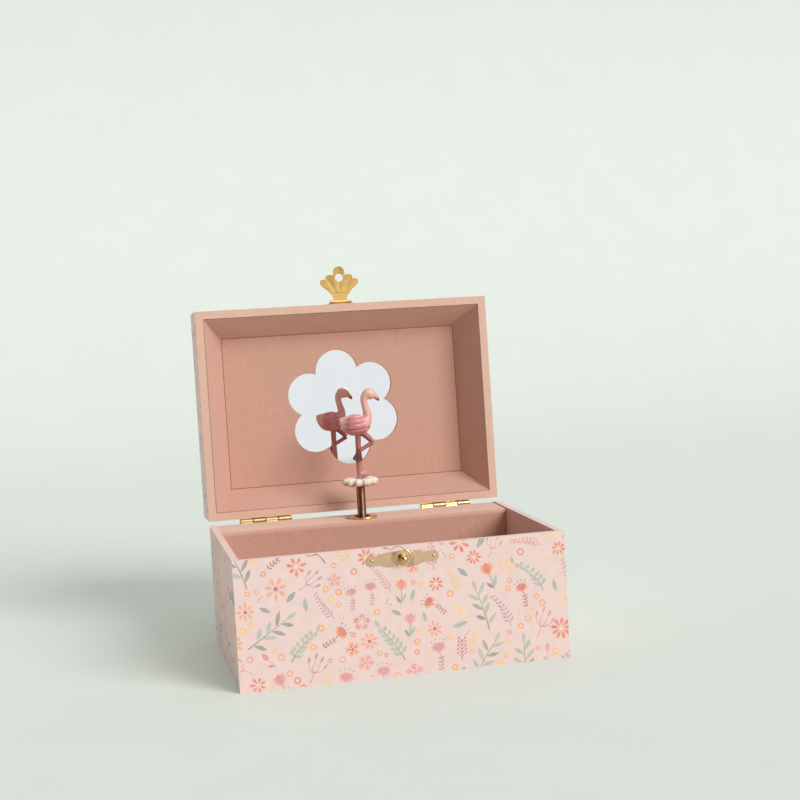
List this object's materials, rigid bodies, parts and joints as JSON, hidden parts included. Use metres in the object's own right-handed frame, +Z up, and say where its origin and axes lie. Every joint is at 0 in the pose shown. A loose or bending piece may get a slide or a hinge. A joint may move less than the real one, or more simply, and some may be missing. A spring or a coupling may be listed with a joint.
{
  "type": "musical jewellery box",
  "caption": "Paper-covered musical jewellery box with a mirrored hinged lid, brass catch, flocked tray and a bird figure that turns on a folding post.",
  "frame": {"origin": "centre of the base's underside", "axes": "+Z up, -Y the front with the keeper plate, +X right; the lid stands open"},
  "size_m": [0.19, 0.1837, 0.2326],
  "materials": {
    "board": "matt grey board",
    "printed_paper": "matt printed paper, pale pink with a small floral print",
    "plain_paper": "matt paper",
    "flock": "salmon flocking",
    "mirror_glass": "polished",
    "polished_brass": "polished",
    "satin_brass": "satin",
    "works_brass": "machined",
    "steel": "brushed",
    "cast_zinc": "as cast",
    "chrome": "polished",
    "cream_resin": "satin",
    "pink_resin": "satin paint"
  },
  "bodies": {
    "root": {"bottom_paper": "plain_paper", "base_floor": "board", "base_front_board": "board", "base_rear_board": "board", "base_left_board": "board", "base_right_board": "board", "base_paper_wrap": "printed_paper", "tray_liner": "flock", "divider_board": "board", "ledge_cover": "flock", "left_hinge_base_leaf": "polished_brass", "left_hinge_pin": "polished_brass", "right_hinge_base_leaf": "polished_brass", "right_hinge_pin": "polished_brass", "base_nails": "polished_brass", "keeper_plate": "satin_brass", "keeper_knob": "polished_brass", "brass_ring": "polished_brass", "bedplate": "cast_zinc", "cylinder_brackets": "cast_zinc", "comb": "steel", "governor_frame": "cast_zinc", "spindle_bracket": "cast_zinc", "stop_spring": "steel", "movement_screws": "steel"},
    "lid": {"lid_top_board": "board", "lid_front_board": "board", "lid_rear_board": "board", "lid_left_board": "board", "lid_right_board": "board", "lid_paper_wrap": "printed_paper", "lid_rim_trim": "flock", "slope_front": "flock", "slope_rear": "flock", "slope_left": "flock", "slope_right": "flock", "lid_panel": "flock", "mirror_glass": "mirror_glass", "mirror_backing": "board", "left_hinge_lid_leaf": "polished_brass", "right_hinge_lid_leaf": "polished_brass", "lid_nails": "polished_brass", "hasp_plate": "polished_brass", "hasp_pin": "polished_brass"},
    "flap": {"hasp_flap": "polished_brass"},
    "fold": {"post_spring": "steel", "spring_plug": "steel"},
    "figure": {"post_tube": "chrome", "scalloped_disc": "cream_resin", "flamingo": "pink_resin"},
    "barrel": {"spring_barrel": "works_brass"},
    "key": {"winding_arbor": "steel", "winding_key": "polished_brass"},
    "drive_spindle": {"spindle": "steel", "spindle_pinion": "works_brass"},
    "cylinder": {"pinned_cylinder": "works_brass", "cylinder_gear": "works_brass"},
    "governor": {"governor_wheel": "works_brass"},
    "fan": {"governor_fan": "steel"},
    "stop": {"stop_wire": "steel"}
  },
  "joints": [
    {"name": "lid_hinge", "type": "hinge", "parent": "root", "child": "lid", "pos_m": [0, 0.0684, 0.07375], "axis": [1, 0, 0], "range_deg": [0, 93]},
    {"name": "flap_swing", "type": "hinge", "parent": "lid", "child": "flap", "pos_m": [0, 0.08379, 0.20973], "axis": [1, 0, 0], "range_deg": [-80, 90]},
    {"name": "post_fold", "type": "hinge", "parent": "root", "child": "fold", "pos_m": [0, 0.0495, 0.0773], "axis": [1, 0, 0], "range_deg": [0, 91], "deforming": ["post_spring"]},
    {"name": "figure_spin", "type": "hinge", "parent": "fold", "child": "figure", "pos_m": [0, 0.0495, 0.0773], "axis": [0, 0, 1], "continuous": true},
    {"name": "barrel_spin", "type": "hinge", "parent": "root", "child": "barrel", "pos_m": [0, 0.0601, 0.036], "axis": [0, 1, 0], "continuous": true},
    {"name": "key_wind", "type": "hinge", "parent": "root", "child": "key", "pos_m": [0, 0.0601, 0.036], "axis": [0, 1, 0], "continuous": true},
    {"name": "spindle_spin", "type": "hinge", "parent": "root", "child": "drive_spindle", "pos_m": [0, 0.0495, 0.048], "axis": [0, 0, 1], "continuous": true},
    {"name": "cylinder_spin", "type": "hinge", "parent": "root", "child": "cylinder", "pos_m": [0.0154, 0.0495, 0.036], "axis": [1, 0, 0], "continuous": true},
    {"name": "governor_spin", "type": "hinge", "parent": "root", "child": "governor", "pos_m": [0.0366, 0.0495, 0.046], "axis": [1, 0, 0], "continuous": true},
    {"name": "fan_spin", "type": "hinge", "parent": "root", "child": "fan", "pos_m": [0.0376, 0.05715, 0.046], "axis": [0, 0, 1], "continuous": true},
    {"name": "stop_slide", "type": "slide", "parent": "root", "child": "stop", "axis": [0, 0, 1], "range_m": [-0.0035, 0], "deforming": ["stop_spring"]}
  ],
  "couplings": [
    {"joint": "post_fold", "follows": "lid_hinge", "ratio": 0.9785},
    {"joint": "stop_slide", "follows": "lid_hinge", "m_per_rad": -0.0021563},
    {"joint": "figure_spin", "follows": "barrel_spin", "ratio": -4},
    {"joint": "spindle_spin", "follows": "barrel_spin", "ratio": -4},
    {"joint": "cylinder_spin", "follows": "barrel_spin", "ratio": -4},
    {"joint": "governor_spin", "follows": "barrel_spin", "ratio": 12},
    {"joint": "fan_spin", "follows": "barrel_spin", "ratio": -96}
  ]
}
